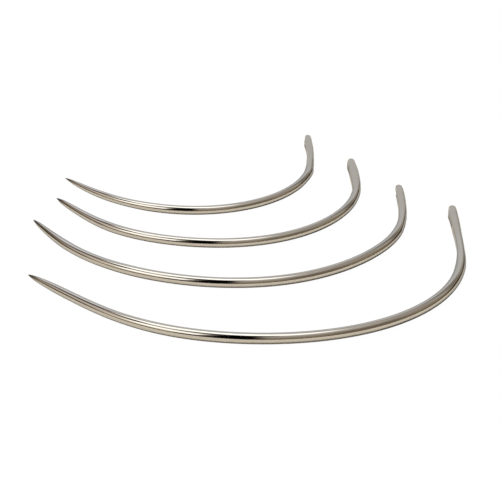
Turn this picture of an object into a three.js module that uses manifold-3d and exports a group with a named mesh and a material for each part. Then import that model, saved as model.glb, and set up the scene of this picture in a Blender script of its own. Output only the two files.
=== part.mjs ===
// Set of four graded curved hand-sewing needles, lying side by side on a flat surface.
// Millimetres, +Z up, resting on z = 0, origin under the middle of the set.
//
// Each needle is made as the real one is: a straight length of round wire with a ground
// point, its eye end pressed thin, the eye slot and its two guide grooves cut through the
// pressed end, and the whole blank then bent to its curve in one plane.
import * as THREE from "three";
import { mergeVertices } from "three/addons/utils/BufferGeometryUtils.js";
import Module from "manifold-3d";

const wasm = await Module();
wasm.setup();

// ---------------------------------------------------------------- driving dimensions
const SIDES = 16; // facets round the wire, one of them facing straight down
const RING_STEP = 2.4; // ring spacing along the plain wire
const HONE = [0.1, 0.13]; // rounding of the honed tip, and how far up the point it reaches
const END_DOME = 1.2; // length of the rounded eye end, in wire radii

// One entry per needle.
// length   along the wire, point to eye end
// diameter of the wire
// at       plan position of the point's tip [x, y]
// heading  direction of the wire at the point, degrees from +X
// bend     [share of length, turn rate in radians per length] stations, straight between
// point    [distance from the tip, share of the diameter] of the ground point
// head     [distance from the eye end, share of the diameter] pressed thickness of the eye end
// nose     [distance from the eye end, share of the diameter] taper of the very end, all round
// lean     [distance from the eye end, offset] of the eye end towards the outside of the curve
// eye      slot: distance of its outer end from the eye end, length and height
// groove   length of the guide groove that runs from the eye towards the shank
const NEEDLES = [
  {
    name: "needle_102mm",
    length: 101.65,
    diameter: 1.58,
    at: [-30.931, -15.984],
    heading: -47.41,
    bend: [[0.0515, 0], [0.1114, 0.726], [0.1814, 2.932], [0.2713, 3.484], [0.3613, 2.802], [0.4513, 3.031], [0.5412, 3.784], [0.6312, 3.95], [0.7111, 3.879], [0.7711, 3.566], [0.8211, 2.42], [0.871, 0.619], [0.921, 0]],
    point: [[0.5, 0.2], [1.4, 0.385], [2.6, 0.545], [3.9, 0.655], [5.3, 0.74], [7.6, 0.81], [10.2, 0.845], [15, 0.885], [20, 0.925], [25, 0.985], [29, 1]],
    head: [[22, 1], [19, 0.89], [17.1, 0.78], [15.7, 0.705], [14.3, 0.705], [12.9, 0.72], [11.5, 0.745], [10, 0.775], [8.6, 0.81], [7.2, 0.825], [5.8, 0.855], [4.2, 0.875], [2.8, 0.945], [1.9, 0.9], [1.2, 0.85], [0, 0.82]],
    nose: [[0, 0.9], [1.2, 0.9], [1.9, 0.94], [2.8, 1]],
    lean: [[0, 0.05], [0.4, 0.06], [1.2, 0.095], [1.9, 0.02], [2.7, -0.03], [3.5, -0.02], [4.5, 0.005], [5.6, 0.03], [7, 0.02], [8.5, 0]],
    eye: { from: 1.9, length: 5.6, height: 0.5 },
    groove: 6.5,
  },
  {
    name: "needle_88mm",
    length: 88.44,
    diameter: 1.49,
    at: [-31.77, 3.443],
    heading: -60.84,
    bend: [[0.0029, 0], [0.0529, 0.667], [0.1128, 2.301], [0.1827, 3.029], [0.2725, 2.727], [0.3624, 2.8], [0.4522, 3.363], [0.5421, 3.884], [0.6319, 3.385], [0.7118, 3.04], [0.7717, 3.935], [0.8216, 3.909], [0.8716, 2.409], [0.9215, 0.833], [0.9999, 0]],
    point: [[0.5, 0.185], [1.3, 0.345], [2.3, 0.485], [3.4, 0.575], [4.6, 0.65], [6.6, 0.76], [8.8, 0.85], [11, 0.905], [15, 0.915], [20, 0.945], [24, 1]],
    head: [[18.5, 1.01], [17.5, 1.01], [16.3, 0.96], [15.6, 0.88], [14.5, 0.84], [13.3, 0.825], [12.3, 0.84], [11, 0.88], [9.6, 0.86], [8.4, 0.83], [7.3, 0.83], [6.2, 0.865], [5, 0.855], [3.8, 0.87], [2.7, 0.865], [1.9, 0.815], [1, 0.83], [0, 0.83]],
    nose: [[0, 0.92], [1.4, 0.92], [2.1, 0.96], [2.8, 1]],
    lean: [[0, -0.1], [0.35, -0.05], [1.1, 0.01], [1.9, 0.03], [2.7, -0.03], [3.6, 0]],
    eye: { from: 1.8, length: 5.2, height: 0.47 },
    groove: 5.8,
  },
  {
    name: "needle_75mm",
    length: 75.21,
    diameter: 1.4,
    at: [-28.917, 11.762],
    heading: -55.1,
    bend: [[0.0028, 0], [0.0527, 0.389], [0.1126, 1.601], [0.1825, 3.449], [0.2724, 3.019], [0.3623, 2.734], [0.4521, 3.487], [0.542, 3.845], [0.6319, 3.655], [0.7118, 3.297], [0.7717, 3.455], [0.8216, 3.288], [0.8715, 2.065], [0.9214, 0.722], [0.9999, 0]],
    point: [[0.5, 0.2], [1.2, 0.385], [2, 0.53], [3, 0.625], [4, 0.69], [5.6, 0.755], [7.5, 0.815], [9.4, 0.875], [11.3, 0.94], [14, 1]],
    head: [[17, 1], [15, 0.965], [13.4, 0.955], [12.3, 0.935], [11.1, 0.985], [9.5, 1.02], [8.3, 1.035], [7, 1.065], [5.5, 1.065], [3.8, 1.05], [2.9, 1.055], [2.2, 1.03], [1.35, 0.99], [0, 0.95]],
    nose: [[0, 0.86], [0.5, 0.88], [1.35, 0.93], [2.2, 0.98], [3, 1]],
    lean: [[0, 0], [0.4, 0.05], [1.2, 0], [2.1, -0.09], [3, -0.1], [3.8, -0.062], [5, -0.056], [6.5, -0.08], [7.8, -0.074], [9, -0.053], [10.3, -0.025], [11.5, 0.01], [12.8, 0.035], [14, 0.01], [15.5, 0]],
    eye: { from: 1.7, length: 4.9, height: 0.45 },
    groove: 5.2,
  },
  {
    name: "needle_65mm",
    length: 64.71,
    diameter: 1.35,
    at: [-28.125, 19.731],
    heading: -50.92,
    bend: [[0.0025, 0], [0.0524, 0.957], [0.1123, 2.011], [0.1822, 2.519], [0.272, 2.937], [0.3619, 3.594], [0.4517, 3.691], [0.5416, 3.791], [0.6314, 3.569], [0.7113, 3.422], [0.7712, 3.01], [0.8211, 1.866], [0.871, 0.815], [0.9209, 0.27], [0.9999, 0]],
    point: [[0.5, 0.17], [1.1, 0.295], [1.8, 0.415], [2.6, 0.505], [3.4, 0.585], [4.8, 0.68], [6.5, 0.765], [8.1, 0.825], [9.7, 0.87], [14, 0.915], [18, 1]],
    head: [[17.5, 1], [16.5, 1], [15.4, 1.06], [14.6, 1.06], [13.7, 1], [13.1, 0.965], [12.2, 0.905], [11.4, 0.905], [10.2, 0.88], [8.9, 0.85], [8, 0.84], [7.2, 0.85], [6.2, 0.87], [5.3, 0.915], [4.4, 0.925], [3.2, 0.98], [2.4, 0.95], [1.5, 0.85], [0, 0.78]],
    nose: [[0, 0.92], [1.2, 0.935], [2.1, 0.97], [3, 1]],
    lean: [[0, -0.02], [0.4, -0.015], [1.2, 0.005], [2, -0.04], [3, -0.11], [3.8, -0.07], [4.6, -0.042], [5.6, -0.01], [7.5, 0], [8.8, -0.028], [10, -0.045], [11.3, -0.048], [12.5, -0.027], [13.6, 0], [14.6, 0.06], [15.5, 0.05], [16.3, 0.045], [17.5, 0]],
    eye: { from: 1.6, length: 4.5, height: 0.42 },
    groove: 4.8,
  },
];

// ---------------------------------------------------------------- shaping helpers
// Smooth monotone curve through stations, held flat past both ends.
function through(stations) {
  const p = [...stations].sort((a, b) => a[0] - b[0]);
  const n = p.length;
  const slope = p.slice(1).map((q, i) => (q[1] - p[i][1]) / (q[0] - p[i][0]));
  const m = p.map((_, i) => {
    if (i === 0 || i === n - 1) return 0;
    const [a, b] = [slope[i - 1], slope[i]];
    return a * b <= 0 ? 0 : (2 * a * b) / (a + b);
  });
  m[0] = p[0][1] === 0 ? slope[0] : 0;
  return (x) => {
    if (x <= p[0][0]) return p[0][1];
    if (x >= p[n - 1][0]) return p[n - 1][1];
    let i = 0;
    while (x > p[i + 1][0]) i++;
    const h = p[i + 1][0] - p[i][0];
    const t = (x - p[i][0]) / h;
    const [t2, t3] = [t * t, t * t * t];
    return (
      (2 * t3 - 3 * t2 + 1) * p[i][1] +
      (t3 - 2 * t2 + t) * h * m[i] +
      (-2 * t3 + 3 * t2) * p[i + 1][1] +
      (t3 - t2) * h * m[i + 1]
    );
  };
}

// The wire's centre line in plan, starting at the origin along +X.
class BendLine extends THREE.Curve {
  constructor(length, bend, steps = 2000) {
    super();
    this.steps = steps;
    this.length = length;
    const rate = (t) => {
      const p = [[-1e-6, 0], ...bend, [1.000001, 0]];
      let i = 0;
      while (i < p.length - 2 && t > p[i + 1][0]) i++;
      const f = (t - p[i][0]) / Math.max(1e-9, p[i + 1][0] - p[i][0]);
      return THREE.MathUtils.lerp(p[i][1], p[i + 1][1], THREE.MathUtils.clamp(f, 0, 1));
    };
    this.table = [[0, 0, 0]];
    let [x, y, h] = [0, 0, 0];
    const ds = length / steps;
    for (let i = 0; i < steps; i++) {
      const turn = rate((i + 0.5) / steps) / steps;
      x += Math.cos(h + turn / 2) * ds;
      y += Math.sin(h + turn / 2) * ds;
      h += turn;
      this.table.push([x, y, h]);
    }
  }
  // plan position and heading at a distance along the wire
  at(s) {
    const f = THREE.MathUtils.clamp(s / this.length, 0, 1) * this.steps;
    const i = Math.min(Math.floor(f), this.steps - 1);
    return this.table[i].map((a, k) => THREE.MathUtils.lerp(a, this.table[i + 1][k], f - i));
  }
  getPoint(t, target = new THREE.Vector3()) {
    const [x, y] = this.at(t * this.length);
    return target.set(x, y, 0);
  }
}

// A closed geometry as a solid, with its shared corners merged and empty faces dropped.
function solid(geometry) {
  const g = geometry.clone();
  g.deleteAttribute("normal");
  g.deleteAttribute("uv");
  const merged = mergeVertices(g, 1e-5);
  const [index, tri] = [merged.index.array, []];
  for (let i = 0; i < index.length; i += 3) {
    const [a, b, c] = [index[i], index[i + 1], index[i + 2]];
    if (a !== b && b !== c && c !== a) tri.push(a, b, c);
  }
  const make = (t) =>
    new wasm.Manifold(
      new wasm.Mesh({
        numProp: 3,
        vertProperties: new Float32Array(merged.attributes.position.array),
        triVerts: new Uint32Array(t),
      }),
    );
  const made = make(tri);
  if (made.volume() > 0) return made;
  for (let i = 0; i < tri.length; i += 3) [tri[i + 1], tri[i + 2]] = [tri[i + 2], tri[i + 1]];
  return make(tri);
}

// A solid as a geometry, each corner moved by a function.
function geometryOf(made, move) {
  const m = made.getMesh();
  const v = new Float32Array(m.numVert * 3);
  const p = new THREE.Vector3();
  for (let i = 0; i < m.numVert; i++) {
    p.fromArray(m.vertProperties, i * m.numProp);
    move(p);
    p.toArray(v, i * 3);
  }
  const g = new THREE.BufferGeometry()
    .setAttribute("position", new THREE.BufferAttribute(v, 3))
    .setIndex(new THREE.BufferAttribute(new Uint32Array(m.triVerts), 1));
  g.computeVertexNormals();
  return g;
}

// ---------------------------------------------------------------- one needle
function needle(spec) {
  const { length, diameter, eye, groove } = spec;
  const radius = diameter / 2;
  const dome = END_DOME * radius;
  const ground = through([[0, 0], ...spec.point]);
  const pressed = through(spec.head);
  const nose = through(spec.nose);
  const lean = through(spec.lean);
  const line = new BendLine(length, spec.bend);
  const plain = length - dome;
  // radius of the round blank, its tip honed and its end tapered and domed
  const blankRadius = (s) => {
    const cone = radius * Math.max(ground(s), 0);
    const honed = Math.sqrt(cone * cone + HONE[0] * s * Math.exp(-s / HONE[1]));
    const rise = THREE.MathUtils.clamp((s - plain) / dome, 0, 1);
    return Math.min(honed, radius) * nose(length - s) * Math.sqrt(1 - rise * rise);
  };

  // straight blank: half section from the point's tip to the rounded eye end; rings stand where the
  // wire runs straight along X and along Y, so that the bent needle reaches its full width there
  const turned = (angle) => {
    const goal = THREE.MathUtils.degToRad(angle - spec.heading);
    let s = 0;
    while (s < length && line.at(s)[2] < goal) s += 0.02;
    return s;
  };
  const rings = [turned(0), turned(90)].filter((s) => s < plain - 0.5);
  const last = spec.point[spec.point.length - 1][0];
  const count = Math.round((plain - last) / RING_STEP);
  const wanted = [...spec.point.map((q) => q[0]), ...[...spec.head, ...spec.nose].map((q) => length - q[0])];
  for (let i = 0; i <= count; i++) wanted.push(last + ((plain - last) * i) / count);
  for (const s of wanted) if (s <= plain && rings.every((q) => Math.abs(q - s) > 0.45)) rings.push(s);
  rings.push(0.04, 0.12, 0.25);
  for (const a of [25, 48, 68, 82]) rings.push(plain + dome * Math.sin(THREE.MathUtils.degToRad(a)));
  const corner = 1 / Math.cos(Math.PI / SIDES); // corners lie outside the round, so facets are at the radius
  const profile = [new THREE.Vector2(0, 0)];
  for (const s of rings.sort((a, b) => a - b)) profile.push(new THREE.Vector2(blankRadius(s) * corner, s));
  profile.push(new THREE.Vector2(0, length));
  const blank = new THREE.LatheGeometry(profile, SIDES, Math.PI / SIDES);

  // the eye end is pressed thin across the plane of the curve
  const pos = blank.getAttribute("position");
  for (let i = 0; i < pos.count; i++) {
    const u = length - pos.getY(i);
    pos.setX(i, pos.getX(i) * pressed(u) + lean(u));
  }
  let body = solid(blank);

  // eye: a slot with round ends through the pressed faces
  const half = eye.height / 2;
  const [y0, y1] = [length - eye.from - eye.length + half, length - eye.from - half];
  const outline = new THREE.Shape();
  outline.absarc(y1, 0, half, -Math.PI / 2, Math.PI / 2, false);
  outline.absarc(y0, 0, half, Math.PI / 2, (3 * Math.PI) / 2, false);
  const slot = new THREE.ExtrudeGeometry(outline, { depth: 4, bevelEnabled: false, curveSegments: 6 });
  slot.translate(0, 0, -2);
  // outline's x runs along the wire, its y is up, and the depth goes across the plane of the curve
  slot.applyMatrix4(
    new THREE.Matrix4().makeBasis(
      new THREE.Vector3(0, 1, 0),
      new THREE.Vector3(0, 0, 1),
      new THREE.Vector3(1, 0, 0),
    ),
  );
  body = body.subtract(solid(slot));

  // guide grooves: long shallow hollows on both faces, running from the eye to the shank
  for (const side of [1, -1]) {
    const from = length - eye.from - eye.length + 0.9;
    const face = radius * pressed(length - (from - groove * 0.45));
    const hollow = new THREE.SphereGeometry(1, 10, 12);
    hollow.scale(radius * 0.2, groove * 0.62, eye.height * 0.46);
    hollow.translate(side * (face + radius * 0.1), from - groove * 0.42, 0);
    body = body.subtract(solid(hollow));
  }

  // bend to the curve; the wire's underside rests on z = 0
  const bent = geometryOf(body, (p) => {
    const [x, y, h] = line.at(p.y);
    p.set(x + Math.sin(h) * p.x, y - Math.cos(h) * p.x, p.z + radius);
  });
  const mesh = new THREE.Mesh(
    bent,
    new THREE.MeshStandardMaterial({ color: 0xb8b0a4, roughness: 0.2, metalness: 1 }),
  );
  mesh.name = spec.name;
  mesh.rotation.z = THREE.MathUtils.degToRad(spec.heading);
  mesh.position.set(spec.at[0], spec.at[1], 0);
  return mesh;
}

const needles = new THREE.Group();
for (const spec of NEEDLES) needles.add(needle(spec));

export default needles;
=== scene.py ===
import math

import bpy
import numpy as np
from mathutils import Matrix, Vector


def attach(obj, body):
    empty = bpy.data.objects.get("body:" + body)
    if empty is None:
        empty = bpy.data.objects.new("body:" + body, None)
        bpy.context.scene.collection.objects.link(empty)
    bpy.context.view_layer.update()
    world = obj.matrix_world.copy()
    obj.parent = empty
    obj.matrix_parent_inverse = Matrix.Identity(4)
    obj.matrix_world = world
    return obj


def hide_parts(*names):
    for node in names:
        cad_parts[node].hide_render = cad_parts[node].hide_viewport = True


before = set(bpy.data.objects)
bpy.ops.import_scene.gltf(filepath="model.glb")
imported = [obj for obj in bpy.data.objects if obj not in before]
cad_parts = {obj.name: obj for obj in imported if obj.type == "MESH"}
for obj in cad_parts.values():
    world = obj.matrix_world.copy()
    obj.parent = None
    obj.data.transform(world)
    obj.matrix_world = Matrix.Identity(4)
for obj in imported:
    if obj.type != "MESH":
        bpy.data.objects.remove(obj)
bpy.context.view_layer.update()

# Set of four graded curved hand-sewing needles on a plain pale surface.
# Needle dimensions are in millimetres, everything placed in the scene is in metres.
MM = 0.001

# ---------------------------------------------------------------- driving dimensions
# length   along the wire, point to eye end
# diameter of the wire
# at       plan position of the point's tip
# heading  direction of the wire at the point, degrees from +X
# bend     (share of length, turn rate in radians per length), straight between
# point    (distance from the tip, share of the diameter) of the ground point
# head     (distance from the eye end, share of the diameter) pressed thickness
# nose     (distance from the eye end, share of the diameter) taper of the very end, all round
# lean     (distance from the eye end, offset) of the eye end towards the outside of the curve
# eye      slot: distance of its outer end from the eye end, length, height
# groove   length of the guide groove that runs from the eye towards the shank
NEEDLES = [
    dict(
        name="needle_102mm", length=101.65, diameter=1.58, at=(-30.931, -15.984), heading=-47.41,
        bend=[(0.0515, 0), (0.1114, 0.726), (0.1814, 2.932), (0.2713, 3.484), (0.3613, 2.802), (0.4513, 3.031),
              (0.5412, 3.784), (0.6312, 3.95), (0.7111, 3.879), (0.7711, 3.566), (0.8211, 2.42), (0.871, 0.619),
              (0.921, 0)],
        point=[(0.5, 0.2), (1.4, 0.385), (2.6, 0.545), (3.9, 0.655), (5.3, 0.74), (7.6, 0.81), (10.2, 0.845),
               (15, 0.885), (20, 0.925), (25, 0.985), (29, 1)],
        head=[(22, 1), (19, 0.89), (17.1, 0.78), (15.7, 0.705), (14.3, 0.705), (12.9, 0.72), (11.5, 0.745),
              (10, 0.775), (8.6, 0.81), (7.2, 0.825), (5.8, 0.855), (4.2, 0.875), (2.8, 0.945), (1.9, 0.9),
              (1.2, 0.85), (0, 0.82)],
        nose=[(0, 0.9), (1.2, 0.9), (1.9, 0.94), (2.8, 1)],
        lean=[(0, 0.05), (0.4, 0.06), (1.2, 0.095), (1.9, 0.02), (2.7, -0.03), (3.5, -0.02), (4.5, 0.005),
              (5.6, 0.022), (7, 0.016), (8.5, 0)],
        eye=(1.9, 5.6, 0.5), groove=6.5,
    ),
    dict(
        name="needle_88mm", length=88.44, diameter=1.49, at=(-31.77, 3.443), heading=-60.84,
        bend=[(0.0029, 0), (0.0529, 0.667), (0.1128, 2.301), (0.1827, 3.029), (0.2725, 2.727), (0.3624, 2.8),
              (0.4522, 3.363), (0.5421, 3.884), (0.6319, 3.385), (0.7118, 3.04), (0.7717, 3.935), (0.8216, 3.909),
              (0.8716, 2.409), (0.9215, 0.833), (0.9999, 0)],
        point=[(0.5, 0.185), (1.3, 0.345), (2.3, 0.485), (3.4, 0.575), (4.6, 0.65), (6.6, 0.76), (8.8, 0.85),
               (11, 0.905), (15, 0.915), (20, 0.945), (24, 1)],
        head=[(18.5, 1.01), (17.5, 1.01), (16.3, 0.96), (15.6, 0.88), (14.5, 0.84), (13.3, 0.825), (12.3, 0.84),
              (11, 0.88), (9.6, 0.86), (8.4, 0.83), (7.3, 0.83), (6.2, 0.865), (5, 0.855), (3.8, 0.87), (2.7, 0.865),
              (1.9, 0.815), (1, 0.83), (0, 0.83)],
        nose=[(0, 0.92), (1.4, 0.92), (2.1, 0.96), (2.8, 1)],
        lean=[(0, -0.1), (0.35, -0.05), (1.1, 0.01), (1.9, 0.03), (2.7, -0.03), (3.6, 0)],
        eye=(1.8, 5.2, 0.47), groove=5.8,
    ),
    dict(
        name="needle_75mm", length=75.21, diameter=1.4, at=(-28.917, 11.762), heading=-55.1,
        bend=[(0.0028, 0), (0.0527, 0.389), (0.1126, 1.601), (0.1825, 3.449), (0.2724, 3.019), (0.3623, 2.734),
              (0.4521, 3.487), (0.542, 3.845), (0.6319, 3.655), (0.7118, 3.297), (0.7717, 3.455), (0.8216, 3.288),
              (0.8715, 2.065), (0.9214, 0.722), (0.9999, 0)],
        point=[(0.5, 0.2), (1.2, 0.385), (2, 0.53), (3, 0.625), (4, 0.69), (5.6, 0.755), (7.5, 0.815), (9.4, 0.875),
               (11.3, 0.94), (14, 1)],
        head=[(17, 1), (15, 0.965), (13.4, 0.955), (12.3, 0.935), (11.1, 0.985), (9.5, 1.02), (8.3, 1.035),
              (7, 1.065), (5.5, 1.065), (3.8, 1.05), (2.9, 1.055), (2.2, 1.03), (1.35, 0.99), (0, 0.95)],
        nose=[(0, 0.86), (0.5, 0.88), (1.35, 0.93), (2.2, 0.98), (3, 1)],
        lean=[(0, 0), (0.4, 0.05), (1.2, 0), (2.1, -0.09), (3, -0.1), (3.8, -0.062), (5, -0.056), (6.5, -0.08),
              (7.8, -0.074), (9, -0.053), (10.3, -0.025), (11.5, 0.01), (12.8, 0.035), (14, 0.01), (15.5, 0)],
        eye=(1.7, 4.9, 0.45), groove=5.2,
    ),
    dict(
        name="needle_65mm", length=64.71, diameter=1.35, at=(-28.125, 19.731), heading=-50.92,
        bend=[(0.0025, 0), (0.0524, 0.957), (0.1123, 2.011), (0.1822, 2.519), (0.272, 2.937), (0.3619, 3.594),
              (0.4517, 3.691), (0.5416, 3.791), (0.6314, 3.569), (0.7113, 3.422), (0.7712, 3.01), (0.8211, 1.866),
              (0.871, 0.815), (0.9209, 0.27), (0.9999, 0)],
        point=[(0.5, 0.17), (1.1, 0.295), (1.8, 0.415), (2.6, 0.505), (3.4, 0.585), (4.8, 0.68), (6.5, 0.765),
               (8.1, 0.825), (9.7, 0.87), (14, 0.915), (18, 1)],
        head=[(17.5, 1), (16.5, 1), (15.4, 1.06), (14.6, 1.06), (13.7, 1), (13.1, 0.965), (12.2, 0.905),
              (11.4, 0.905), (10.2, 0.88), (8.9, 0.85), (8, 0.84), (7.2, 0.85), (6.2, 0.87), (5.3, 0.915),
              (4.4, 0.925), (3.2, 0.98), (2.4, 0.95), (1.5, 0.85), (0, 0.78)],
        nose=[(0, 0.92), (1.2, 0.935), (2.1, 0.97), (3, 1)],
        lean=[(0, -0.02), (0.4, -0.015), (1.2, 0.005), (2, -0.04), (3, -0.11), (3.8, -0.07), (4.6, -0.042),
              (5.6, -0.01), (7.5, 0), (8.8, -0.028), (10, -0.045), (11.3, -0.048), (12.5, -0.027), (13.6, 0),
              (14.6, 0.06), (15.5, 0.05), (16.3, 0.045), (17.5, 0)],
        eye=(1.6, 4.5, 0.42), groove=4.8,
    ),
]
HONE = (0.1, 0.13)  # rounding of the honed tip, and how far up the point it reaches
TIP = 0.01  # start of the honed tip
END_DOME = 1.2  # length of the rounded eye end, in wire radii
RIM = 0.085  # rounding of the eye's rim
TOP_STEPS, FACE_STEPS = 10, 16  # mesh columns from the top to the eye's rim, and across the eye's face
AROUND = 2 * (2 * TOP_STEPS + FACE_STEPS)


# ---------------------------------------------------------------- shaping helpers
def through(stations):
    """Smooth monotone curve through stations, held flat past both ends."""
    p = np.array(sorted(stations), float)
    x, y = p[:, 0], p[:, 1]
    k = np.diff(y) / np.diff(x)
    m = np.zeros(len(x))
    for i in range(1, len(x) - 1):
        a, b = k[i - 1], k[i]
        m[i] = 0 if a * b <= 0 else 2 * a * b / (a + b)
    if y[0] == 0:
        m[0] = k[0]

    def value(q):
        q = np.clip(q, x[0], x[-1])
        i = np.clip(np.searchsorted(x, q, side="right") - 1, 0, len(x) - 2)
        h = x[i + 1] - x[i]
        t = (q - x[i]) / h
        return (
            (2 * t**3 - 3 * t**2 + 1) * y[i]
            + (t**3 - 2 * t**2 + t) * h * m[i]
            + (3 * t**2 - 2 * t**3) * y[i + 1]
            + (t**3 - t**2) * h * m[i + 1]
        )

    return value


def step(lo, hi, v):
    t = np.clip((v - lo) / (hi - lo), 0, 1)
    return t * t * (3 - 2 * t)


def softened(curve, length, width, keep):
    """The curve evened out over width, but left as it is within keep of its start."""
    grid = np.arange(0, length + 0.025, 0.05)
    raw = curve(grid)
    n = int(3 * width / 0.05)
    w = np.exp(-0.5 * (np.arange(-n, n + 1) * 0.05 / width) ** 2)
    even = np.convolve(np.pad(raw, n, mode="edge"), w / w.sum(), mode="valid")
    mix = step(keep, 3 * keep, grid) if keep > 0 else np.ones_like(grid)
    made = raw * (1 - mix) + even * mix
    return lambda q: np.interp(q, grid, made)


def bend_line(spec, steps=4000):
    """Plan position and heading along the wire, starting at the origin along +X."""
    length = spec["length"]
    share = np.array([-1e-6] + [b[0] for b in spec["bend"]] + [1.000001])
    rate = np.array([0] + [b[1] for b in spec["bend"]] + [0], float)
    turn = np.interp((np.arange(steps) + 0.5) / steps, share, rate) / steps
    h = np.r_[0, np.cumsum(turn)]
    mid = h[:-1] + turn / 2
    x = np.r_[0, np.cumsum(np.cos(mid))] * length / steps
    y = np.r_[0, np.cumsum(np.sin(mid))] * length / steps
    s = np.linspace(0, length, steps + 1)
    return lambda q: (np.interp(q, s, x), np.interp(q, s, y), np.interp(q, s, h))


def ring_places(spec, rim_a, rim_b, half):
    """Distances along the wire of the mesh rings: close at the point, the eye and the end."""
    length, radius = spec["length"], spec["diameter"] / 2
    plain = length - END_DOME * radius
    tip = [0.017, 0.03, 0.05, 0.08, 0.125, 0.18, 0.25, 0.34, 0.45, 0.58, 0.74, 0.93, 1.15, 1.4, 1.7, 2.05]
    while tip[-1] < 6:
        tip.append(tip[-1] + min(0.5, 0.17 * tip[-1]))
    stretch = lambda a, b, d: list(np.linspace(a, b, max(2, int(round((b - a) / d)) + 1))[1:])
    neck = rim_a - 1.5
    places = tip + stretch(tip[-1], neck - 12, 0.55) + stretch(neck - 12, neck, 0.3) + stretch(neck, rim_a, 0.14)
    ia = len(places) - 1
    places += stretch(rim_a, rim_a + half, half / 4) + stretch(rim_a + half, rim_b - half, 0.14)
    places += stretch(rim_b - half, rim_b, half / 4)
    ib = len(places) - 1
    places += stretch(rim_b, plain, 0.12)
    places += [plain + (length - plain) * math.sin(math.radians(a)) for a in range(7, 90, 7)]
    return np.array(places), ia, ib


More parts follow.
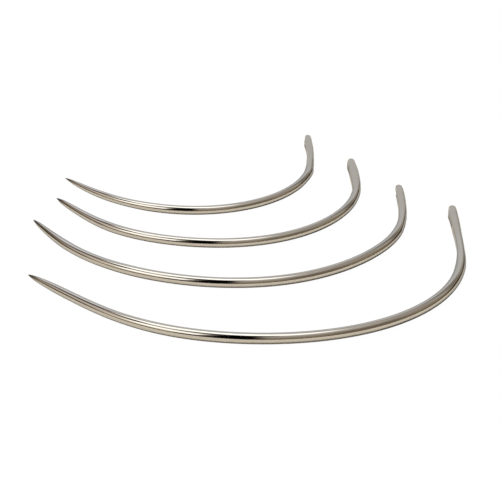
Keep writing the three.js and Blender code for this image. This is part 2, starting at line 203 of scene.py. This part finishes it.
def needle_mesh(spec):
    """One closed mesh of a needle: ground point, wire, pressed eye end with its slot and grooves, bent to the curve."""
    length, radius = spec["length"], spec["diameter"] / 2
    eye_from, eye_length, eye_height = spec["eye"]
    plain = length - END_DOME * radius
    ground = softened(through([(0, 0)] + spec["point"]), length, 1.1, 1.6)
    pressed = softened(through(spec["head"]), 40, 0.45, 0)
    nose, lean = through(spec["nose"]), through(spec["lean"])
    half = eye_height / 2 + RIM
    slot_a, slot_b = length - eye_from - eye_length, length - eye_from
    rim_a, rim_b = slot_a - RIM, slot_b + RIM
    places, ia, ib = ring_places(spec, rim_a, rim_b, half)

    def wire_radius(s):
        cone = radius * ground(s)
        t = np.clip(s - TIP, 0, None)
        hone = np.sqrt(cone**2 + HONE[0] * t * np.exp(-t / HONE[1]))  # the tip is honed round, not a knife point
        dome = np.sqrt(np.clip(1 - (np.clip(s - plain, 0, None) / (length - plain)) ** 2, 0, 1))
        return np.minimum(hone, radius) * dome * nose(length - s)

    def side(s, z):
        """Half thickness across the plane of the curve, at a height: a round wire whose two sides are pressed flat."""
        r = np.maximum(wire_radius(s), 1e-6)
        c = pressed(length - s)
        v = np.clip(np.abs(z) / r, 0, 1)
        flat = 2 + 2.4 * step(0.4, 2.2, length - s) * (1 - step(8, 13, length - s))
        x = c * r * np.sqrt(1 - v ** np.maximum(2 / c**2, flat))
        start = slot_a - spec["groove"]
        run = step(start, start + 0.7 * spec["groove"], s) * (1 - step(slot_a + 0.6, slot_a + 2.4, s))
        lip = 0.5 * (1 - step(slot_b - 1.2, slot_b - 0.2, s)) + 0.5 * (1 - step(slot_b + 0.1, slot_b + 0.9, s))
        hollow = 0.10 * radius * run * np.exp(-((z / (0.42 * eye_height)) ** 2))
        dish = 0.03 * radius * step(slot_a - 0.8, slot_a + 0.8, s) * lip * np.exp(-((z / (0.7 * eye_height)) ** 2))
        return x - hollow - dish

    # columns round the wire, from the top over +x: lines run along the eye's rim
    rim = math.acos(half / radius)
    quarter = np.r_[np.linspace(0, rim, TOP_STEPS + 1), np.linspace(rim, math.pi - rim, FACE_STEPS + 1)[1:],
                    np.linspace(math.pi - rim, math.pi, TOP_STEPS + 1)[1:]]
    half_n = AROUND // 2
    ja, jb = TOP_STEPS, TOP_STEPS + FACE_STEPS
    S = np.repeat(places[:, None], half_n + 1, axis=1)
    A = np.repeat(quarter[None, :], len(places), axis=0)

    # the mesh round the eye flows to the slot's round ends
    shift_s, shift_a = np.zeros_like(S), np.zeros_like(A)
    fixed = np.ones(S.shape, bool)
    low, high = ia - 9, min(ib + 9, len(places) - 14)
    fixed[low:high, ja - 5 : jb + 6] = False
    fixed[ia : ib + 1, ja : jb + 1] = True
    n_end = 4
    u_path = lambda end, inner: ([(i, ja) for i in range(inner, end, 1 if end > inner else -1)]
                                 + [(end, j) for j in range(ja, jb + 1)]
                                 + [(i, jb) for i in range(end - (1 if end > inner else -1), inner - (1 if end > inner else -1), -1 if end > inner else 1)])
    loop = {}
    for end, centre, way in ((ib, rim_b - half, 1), (ia, rim_a + half, -1)):
        path = u_path(end, end - way * n_end)
        for k, (i, j) in enumerate(path):
            turn = math.pi / 2 - math.pi * k / (len(path) - 1)
            s, z = centre + way * half * math.cos(turn), half * math.sin(turn)
            shift_s[i, j], shift_a[i, j] = s - S[i, j], math.acos(z / radius) - A[i, j]
            loop[i, j] = (-way * math.cos(turn), -math.sin(turn))
    for i in range(ia + n_end, ib - n_end + 1):
        loop[i, ja], loop[i, jb] = (0.0, -1.0), (0.0, 1.0)
    for _ in range(400):
        for f in (shift_s, shift_a):
            mean = (np.roll(f, 1, 0) + np.roll(f, -1, 0) + np.roll(f, 1, 1) + np.roll(f, -1, 1)) / 4
            f[~fixed] = mean[~fixed]
    S, A = S + shift_s, A + shift_a
    Z = wire_radius(S) * np.cos(A)
    X = side(S, Z)
    X[:, 0] = X[:, -1] = 0

    verts, index = [], {}

    def add(key, x, s, z, recess=0.0):
        index[key] = len(verts)
        verts.append((x, s, z, recess))

    rings = len(places)
    inside = lambda i, j: ia < i < ib and ja < j < jb
    for i in range(rings):
        for j in range(AROUND):
            m = j if j <= half_n else AROUND - j
            if inside(i, m):
                continue
            way = 1 if j <= half_n else -1
            add((i, j), way * X[i, m], S[i, m], Z[i, m])
    add("tip", 0, TIP, 0)
    add("end", 0, length, 0)
    faces, parts = [], []
    for i in range(rings - 1):
        for j in range(AROUND):
            m = j if j < half_n else AROUND - 1 - j
            if ia <= i < ib and ja <= m < jb:
                continue
            q = (j + 1) % AROUND
            faces.append([index[i, j], index[i, q], index[i + 1, q], index[i + 1, j]])
            parts.append((i, j))
    for j in range(AROUND):
        q = (j + 1) % AROUND
        faces.append([index["tip"], index[0, q], index[0, j]])
        parts.append((-1, j))
        faces.append([index[rings - 1, j], index[rings - 1, q], index["end"]])
        parts.append((rings - 1, j))

    # the eye: rounded rims on both faces and a plain wall between them
    order = ([(i, ja) for i in range(ia, ib)] + [(ib, j) for j in range(ja, jb)]
             + [(i, jb) for i in range(ib, ia, -1)] + [(ia, j) for j in range(jb, ja, -1)])
    n = len(order)
    s0, z0 = np.array([S[k] for k in order]), np.array([Z[k] for k in order])
    inward = np.array([loop[k] for k in order])
    rows = [[index[i, j] for i, j in order]]
    levels = [math.radians(a) for a in (20, 42, 66, 90)]
    wall_x, wall_s, wall_z = [], [], []
    for a in levels:
        s = s0 + inward[:, 0] * RIM * math.sin(a)
        z = z0 + inward[:, 1] * RIM * math.sin(a)
        wall_x.append(side(s, z) - RIM * (1 - math.cos(a)))
        wall_s.append(s)
        wall_z.append(z)
    last = wall_x[-1]
    for t in (0.55, 0.0, -0.55):
        wall_x.append(last * t)
        wall_s.append(wall_s[3])
        wall_z.append(wall_z[3])
    for k in (3, 2, 1, 0):
        wall_x.append(-wall_x[k])
        wall_s.append(wall_s[k])
        wall_z.append(wall_z[k])
    for r in range(len(wall_x)):
        deep = 1 - abs(wall_x[r] / last)
        row = []
        for k in range(n):
            add(("eye", r, k), wall_x[r][k], wall_s[r][k], wall_z[r][k], 0.55 + 0.45 * float(np.clip(deep[k] * 3, 0, 1)))
            row.append(index["eye", r, k])
        rows.append(row)
    rows.append([index[i, AROUND - j] for i, j in order])
    for r in range(len(rows) - 1):
        for k in range(n):
            q = (k + 1) % n
            faces.append([rows[r][q], rows[r][k], rows[r + 1][k], rows[r + 1][q]])
            parts.append(("eye", r, k))

    v = np.array(verts)
    straight = v[:, :3].copy()
    recess = v[:, 3]
    # the grooves are marked as recess as well: darker and rougher in the material
    flat = np.abs(straight[:, 0]) / np.maximum(wire_radius(straight[:, 1]), 1e-6)
    start = slot_a - spec["groove"]
    run = step(start, start + 0.6 * spec["groove"], straight[:, 1]) * (1 - step(slot_b - 0.5, slot_b + 0.6, straight[:, 1]))
    recess = np.maximum(recess, 0.6 * run * np.exp(-((straight[:, 2] / (0.5 * eye_height)) ** 2)) * step(0.3, 0.6, flat))

    # the eye end leans a little, then the wire is bent to the curve and laid in its place
    straight[:, 0] += lean(length - straight[:, 1])
    line = bend_line(spec)
    px, py, h = line(straight[:, 1])
    bx = px + np.sin(h) * straight[:, 0]
    by = py - np.cos(h) * straight[:, 0]
    a = math.radians(spec["heading"])
    world = np.c_[
        spec["at"][0] + bx * math.cos(a) - by * math.sin(a),
        spec["at"][1] + bx * math.sin(a) + by * math.cos(a),
        straight[:, 2] + radius,
    ] * MM

    mesh = bpy.data.meshes.new(spec["name"] + "_visual")
    mesh.from_pydata(world.tolist(), [], faces)
    mesh.polygons.foreach_set("use_smooth", np.ones(len(faces), bool))
    att = mesh.attributes.new("straight", "FLOAT_VECTOR", "POINT")
    att.data.foreach_set("vector", straight.astype(np.float32).ravel())
    att = mesh.attributes.new("from_eye", "FLOAT", "POINT")
    att.data.foreach_set("value", (length - straight[:, 1]).astype(np.float32))
    att = mesh.attributes.new("recess", "FLOAT", "POINT")
    att.data.foreach_set("value", recess.astype(np.float32))
    mesh.validate()
    mesh.update()
    return mesh


# ---------------------------------------------------------------- node helpers
class Nodes:
    """Short hand for building a node tree."""

    def __init__(self, tree):
        self.tree = tree
        tree.nodes.clear()

    def add(self, kind, **props):
        node = self.tree.nodes.new(kind)
        for k, v in props.items():
            setattr(node, k, v)
        return node

    def put(self, socket, value):
        if isinstance(value, bpy.types.NodeSocket):
            self.tree.links.new(value, socket)
        else:
            socket.default_value = value

    def math(self, op, a, b=None, c=None, clamp=False):
        node = self.add("ShaderNodeMath", operation=op, use_clamp=clamp)
        for i, v in enumerate((a, b, c)):
            if v is not None:
                self.put(node.inputs[i], v)
        return node.outputs[0]

    def vec(self, op, a, b=None, out=0):
        node = self.add("ShaderNodeVectorMath", operation=op)
        self.put(node.inputs[0], a)
        if b is not None:
            self.put(node.inputs[1], b)
        return node.outputs[out]

    def fade(self, value, a, b, lo=0.0, hi=1.0):
        """lo below a, hi above b, smooth between."""
        node = self.add("ShaderNodeMapRange", interpolation_type="SMOOTHSTEP")
        self.put(node.inputs["Value"], value)
        for k, v in (("From Min", a), ("From Max", b), ("To Min", lo), ("To Max", hi)):
            node.inputs[k].default_value = v
        return node.outputs["Result"]

    def mix(self, factor, a, b):
        node = self.add("ShaderNodeMix", data_type="RGBA")
        self.put(node.inputs[0], factor)
        self.put(node.inputs[6], a)
        self.put(node.inputs[7], b)
        return node.outputs[2]

    def noise(self, vector, scale, detail=2.0, rough=0.5):
        node = self.add("ShaderNodeTexNoise")
        self.put(node.inputs["Vector"], vector)
        node.inputs["Scale"].default_value = scale
        node.inputs["Detail"].default_value = detail
        node.inputs["Roughness"].default_value = rough
        return node.outputs["Fac"]


def plated_steel():
    """Bright nickel-plated steel: drawn and polished along the wire, ground at the point, a little duller at the eye."""
    mat = bpy.data.materials.new("plated_steel")
    mat.use_nodes = True
    n = Nodes(mat.node_tree)
    out = n.add("ShaderNodeOutputMaterial")
    bsdf = n.add("ShaderNodeBsdfPrincipled")
    n.tree.links.new(bsdf.outputs[0], out.inputs[0])
    place = n.add("ShaderNodeAttribute", attribute_name="straight").outputs["Vector"]
    from_eye = n.add("ShaderNodeAttribute", attribute_name="from_eye").outputs["Fac"]
    recess = n.add("ShaderNodeAttribute", attribute_name="recess").outputs["Fac"]
    along = n.add("ShaderNodeSeparateXYZ")
    n.put(along.inputs[0], place)
    from_tip = along.outputs[1]

    # lines left by drawing and polishing run along the wire, those of the ground point run askew
    drawn = n.noise(n.vec("MULTIPLY", place, (16.0, 0.35, 16.0)), 1.0, 3.0, 0.6)
    honed = n.noise(n.vec("MULTIPLY", place, (11.0, 3.2, 11.0)), 1.0, 2.0, 0.6)
    uneven = n.noise(n.vec("MULTIPLY", place, (0.9, 0.28, 0.9)), 1.0, 2.0, 0.5)
    smear = n.noise(n.vec("MULTIPLY", place, (2.2, 0.8, 2.2)), 1.0, 3.0, 0.6)
    speck = n.noise(n.vec("MULTIPLY", place, (9.0, 6.0, 9.0)), 1.0, 1.0, 0.5)
    at_point = n.fade(from_tip, 3.0, 9.0, 1.0, 0.0)
    at_eye = n.fade(from_eye, 8.0, 16.0, 1.0, 0.0)
    # mask for the painted dark reflection at the very tip
    tip_dark_reflection = n.fade(from_tip, 0.4, 3.4, 1.0, 0.0)

    # colour: warm nickel, faintly mottled, a little darker in the eye and its grooves, most in the middle of the eye's
    # wall
    plate = n.mix(n.fade(smear, 0.35, 0.7), (0.640, 0.598, 0.532, 1), (0.672, 0.632, 0.570, 1))
    plate = n.mix(n.math("MULTIPLY", at_point, 0.5), plate, (0.600, 0.545, 0.462, 1))
    plate = n.mix(n.math("MULTIPLY", tip_dark_reflection, 0.9), plate, (0.17, 0.14, 0.105, 1))  # painted dark reflection: the tip is darkened to stand in for the dark surround that it mirrors
    plate = n.mix(n.math("MULTIPLY", n.fade(speck, 0.68, 0.76), 0.35), plate, (0.36, 0.325, 0.28, 1))
    plate = n.mix(n.math("MULTIPLY", at_eye, 0.95), plate, (0.508, 0.474, 0.416, 1))  # the pressed end is greyer
    plate = n.mix(n.math("MULTIPLY", recess, 0.15), plate, (0.30, 0.265, 0.22, 1))
    n.put(bsdf.inputs["Base Color"], plate)
    bsdf.inputs["Metallic"].default_value = 1.0
    # nickel dims and cools a little at a glancing angle, less so on the duller pressed end
    n.put(bsdf.inputs["Specular Tint"], n.mix(at_eye, (0.52, 0.55, 0.61, 1), (0.9, 0.9, 0.9, 1)))

    rough = n.math("MULTIPLY_ADD", n.fade(smear, 0.4, 0.75), 0.05, 0.055)
    rough = n.math("MULTIPLY_ADD", at_eye, 0.13, rough)
    rough = n.math("MULTIPLY_ADD", at_point, 0.02, rough)
    rough = n.math("MULTIPLY_ADD", recess, 0.28, rough)
    n.put(bsdf.inputs["Roughness"], rough)

    lines = n.math("MULTIPLY", drawn, n.math("MULTIPLY_ADD", at_eye, 0.6, 0.5))
    lines = n.math("MULTIPLY_ADD", n.math("MULTIPLY", honed, at_point), 1.1, lines)
    lines = n.math("MULTIPLY_ADD", uneven, 1.2, lines)
    bump = n.add("ShaderNodeBump")
    bump.inputs["Strength"].default_value = 0.6
    bump.inputs["Distance"].default_value = 0.0000012
    n.put(bump.inputs["Height"], lines)
    n.put(bsdf.inputs["Normal"], bump.outputs[0])
    return mat


# ---------------------------------------------------------------- the needles
steel = plated_steel()
for spec in NEEDLES:
    piece = bpy.data.objects.new(spec["name"] + "_visual", needle_mesh(spec))
    bpy.context.scene.collection.objects.link(piece)
    piece.data.materials.append(steel)
    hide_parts(spec["name"])
    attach(piece, spec["name"])


# ---------------------------------------------------------------- floor
def plain_sheet(name, size, height, colour, glow):
    x = size / 2
    mesh = bpy.data.meshes.new(name)
    mesh.from_pydata([(-x, -x, height), (x, -x, height), (x, x, height), (-x, x, height)], [], [(0, 1, 2, 3)])
    ob = bpy.data.objects.new(name, mesh)
    bpy.context.scene.collection.objects.link(ob)
    mat = bpy.data.materials.new(name)
    mat.use_nodes = True
    bsdf = mat.node_tree.nodes["Principled BSDF"]
    bsdf.inputs["Base Color"].default_value = (*colour, 1)
    bsdf.inputs["Roughness"].default_value = 0.9
    bsdf.inputs["Specular IOR Level"].default_value = 0.0
    bsdf.inputs["Emission Color"].default_value = (1, 1, 1, 1)
    bsdf.inputs["Emission Strength"].default_value = glow
    mat.cycles.emission_sampling = "NONE"  # the sheet's own glow lights nothing
    mesh.materials.append(mat)
    return ob


# a white table top, and the cream card under it that the polished wire mirrors
table = plain_sheet("table_top", 3.0, -0.000002, (0.02, 0.02, 0.02), 0.98)
table.visible_glossy = False
table.visible_diffuse = False
table.visible_shadow = False
card = plain_sheet("table_card", 3.0, -0.000003, (0.465, 0.44, 0.395), 0.0)
card.visible_camera = False
card.visible_shadow = False

# ---------------------------------------------------------------- soft studio surround
WORLD_GAIN = 2.0
# round overhead panels: azimuth (0 away from the camera, + right), elevation, radius, softness, brightness, colour
PANELS = [
    (18, 85, 15, 7, 1.77, (0.95, 1.01, 1.06)),
    (-48, 71.5, 18, 3.4, 1.9, (0.97, 1.01, 1.03)),
    (-73, 68, 10.5, 2.4, 1.65, (1.00, 1.00, 1.01)),
]
# upright soft zones: centre azimuth, half width, softness, lowest and highest elevation,
# softness of each, brightness, colour
ZONES = [
    ("back_wall", -9, 32, 12, -8, 46, 4, 4, 0.77, (0.99, 1.00, 1.01)),
    ("back_bright", -25, 8, 3, 30, 44, 5, 2, 1.06, (0.97, 0.99, 1.16)),
    ("right_warm", 34.5, 6, 3, 13, 23, 3, 3, 0.37, (1.07, 0.99, 0.89)),
    ("right_line", 41, 9, 4, 23.5, 30.5, 2.5, 2.5, 0.18, (1.06, 0.99, 0.89)),
    ("right_gap", 21, 6.5, 3, 29, 41, 4, 4, 0.19, (0.97, 1.00, 1.06)),
    ("right_gap_low", 50, 9, 3, 3, 14.5, 2, 3.5, 0.04, (1.16, 0.98, 0.77)),
    ("right_light", 53, 6, 3.5, 24, 40, 5, 3, 0.52, (0.99, 1.01, 0.98)),
    ("front_right", 120, 24, 12, 6, 45, 5, 9, 0.18, (1.19, 0.97, 0.74)),
    ("left_wall", -84, 15.5, 10, -4, 45.5, 3, 2.5, 0.68, (1.11, 0.98, 0.89)),
    ("left_wall_low", -71, 30, 12.5, -4, 18.5, 3, 9, 0.03, (1.61, 0.89, 0.27)),
    ("left_shade", -40.5, 9.5, 4.5, -14, 33, 4, 6, 0.1, (1.21, 0.96, 0.80)),
    ("left_gap", -54, 16, 3, 38.5, 50.4, 9, 2.3, 0.09, (1.04, 0.99, 0.94)),
    ("panel_gap", -94.5, 25.5, 3.5, 45, 58.3, 1.2, 2.1, 0.04, (1.06, 1.00, 0.87)),
    ("front_gap", -137, 21.5, 5, 55, 78.5, 2.5, 4.7, 0.05, (1.06, 0.99, 0.87)),
    ("top_front", -167, 28.5, 6, 64, 77, 3, 2, 0.03, (1.09, 0.99, 0.84)),
    ("left_card_low", -119, 23, 8, 14, 41, 5, 3.5, 0.89, (1.09, 0.99, 0.85)),
    ("left_card", -127, 23, 2.5, 26.5, 49.5, 2.1, 11.9, 1.81, (1.00, 1.00, 0.99)),
    ("front_flag", -166.6, 13.2, 5.7, 12, 67.5, 2.5, 2.3, 0, (1.00, 1.00, 1.00)),
    ("front_flag_low", -158, 19.2, 3.8, 2.3, 17, 1.2, 3.2, 0.01, (1.00, 1.00, 1.00)),
]
RAMP = [  # elevation, brightness, colour of the room between the cards
    (-90, 0.09, (1.16, 0.98, 0.78)), (-1, 0.09, (1.17, 0.97, 0.76)), (2, 0.07, (1.20, 0.97, 0.72)),
    (9, 0.11, (1.25, 0.96, 0.63)), (14, 0.22, (1.24, 0.97, 0.65)), (20, 0.3, (1.15, 0.98, 0.76)),
    (31, 0.29, (1.17, 0.97, 0.76)), (42, 0.4, (1.05, 0.99, 0.93)), (52, 0.4, (1.07, 0.98, 0.94)),
    (62, 0.56, (1.02, 1.00, 0.94)), (70, 0.56, (1.06, 0.98, 0.97)), (77, 1.53, (1.08, 0.99, 0.89)),
    (90, 1.35, (0.96, 1.00, 1.08)),
]


def surround():
    world = bpy.data.worlds.new("studio")
    bpy.context.scene.world = world
    world.use_nodes = True
    n = Nodes(world.node_tree)
    out = n.add("ShaderNodeOutputWorld")
    way = n.vec("NORMALIZE", n.add("ShaderNodeTexCoord").outputs["Generated"])
    split = n.add("ShaderNodeSeparateXYZ")
    n.put(split.inputs[0], way)
    rise = n.math("DEGREES", n.math("ARCSINE", split.outputs[2]))
    level = n.vec("NORMALIZE", n.vec("MULTIPLY", way, (1.0, 1.0, 0.0)))
    ramp = n.add("ShaderNodeValToRGB")
    n.put(ramp.inputs[0], n.math("MULTIPLY_ADD", rise, 1 / 180, 0.5))
    stops = ramp.color_ramp.elements
    while len(stops) < len(RAMP):
        stops.new(0.5)
    for stop, (e, b, c) in zip(stops, RAMP):
        stop.position = e / 180 + 0.5
        stop.color = (*[b * x / WORLD_GAIN for x in c], 1)
    colour = ramp.outputs[0]

    def over(mask, b, c):
        return n.mix(mask, colour, (*[b * x / WORLD_GAIN for x in c], 1))

    for az, el, radius, soft, b, c in PANELS:
        a, e = math.radians(az), math.radians(el)
        near = n.vec("DOT_PRODUCT", way, (math.sin(a) * math.cos(e), math.cos(a) * math.cos(e), math.sin(e)), out=1)
        away = n.math("DEGREES", n.math("ARCCOSINE", n.math("MINIMUM", near, 1.0)))
        colour = over(n.fade(away, radius - soft, radius + soft, 1.0, 0.0), b, c)
    for _, az, wide, soft, lo, hi, soft_lo, soft_hi, b, c in ZONES:
        a = math.radians(az)
        near = n.vec("DOT_PRODUCT", level, (math.sin(a), math.cos(a), 0.0), out=1)
        away = n.math("DEGREES", n.math("ARCCOSINE", n.math("MAXIMUM", n.math("MINIMUM", near, 1.0), -1.0)))
        mask = n.math("MULTIPLY", n.fade(away, wide - soft, wide + soft, 1.0, 0.0), n.fade(rise, lo - soft_lo, lo + soft_lo))
        mask = n.math("MULTIPLY", mask, n.fade(rise, hi - soft_hi, hi + soft_hi, 1.0, 0.0))
        colour = over(mask, b, c)
    back = n.add("ShaderNodeBackground")
    n.put(back.inputs["Color"], colour)
    back.inputs["Strength"].default_value = WORLD_GAIN
    plain = n.add("ShaderNodeBackground")
    plain.inputs["Color"].default_value = (1, 1, 1, 1)
    plain.inputs["Strength"].default_value = 1.0
    seen = n.add("ShaderNodeLightPath").outputs["Is Camera Ray"]
    both = n.add("ShaderNodeMixShader")
    n.put(both.inputs[0], seen)
    n.put(both.inputs[1], back.outputs[0])
    n.put(both.inputs[2], plain.outputs[0])
    n.put(out.inputs["Surface"], both.outputs[0])


surround()

# soft lamps for the card: energy, size in degrees, direction to the lamp
LAMPS = [("low_left", 2.5, 25, (-0.814, -0.470, 0.342)), ("high_left", 3.1, 25, (-0.346, 0.242, 0.906))]
for name, energy, size, way in LAMPS:
    sun = bpy.data.lights.new(name, "SUN")
    sun.energy = energy
    sun.angle = math.radians(size)
    lamp = bpy.data.objects.new(name, sun)
    lamp.rotation_euler = Vector(way).to_track_quat("Z", "Y").to_euler()
    bpy.context.scene.collection.objects.link(lamp)
    lamp.visible_glossy = False

# ---------------------------------------------------------------- camera
cam = bpy.data.cameras.new("camera")
cam.sensor_fit = "HORIZONTAL"
cam.sensor_width = 36.0
cam.lens = 172.8
cam.clip_start = 0.01
cam.clip_end = 20.0
eye = bpy.data.objects.new("camera", cam)
eye.location = (0.0005943, -0.3249958, 0.1454)
eye.rotation_euler = (math.radians(90 - 24.48806), 0, 0)
bpy.context.scene.collection.objects.link(eye)
bpy.context.scene.camera = eye
view = bpy.context.scene.view_settings
view.view_transform = "Standard"
view.look = "None"
view.exposure = 0.0
view.gamma = 1.0
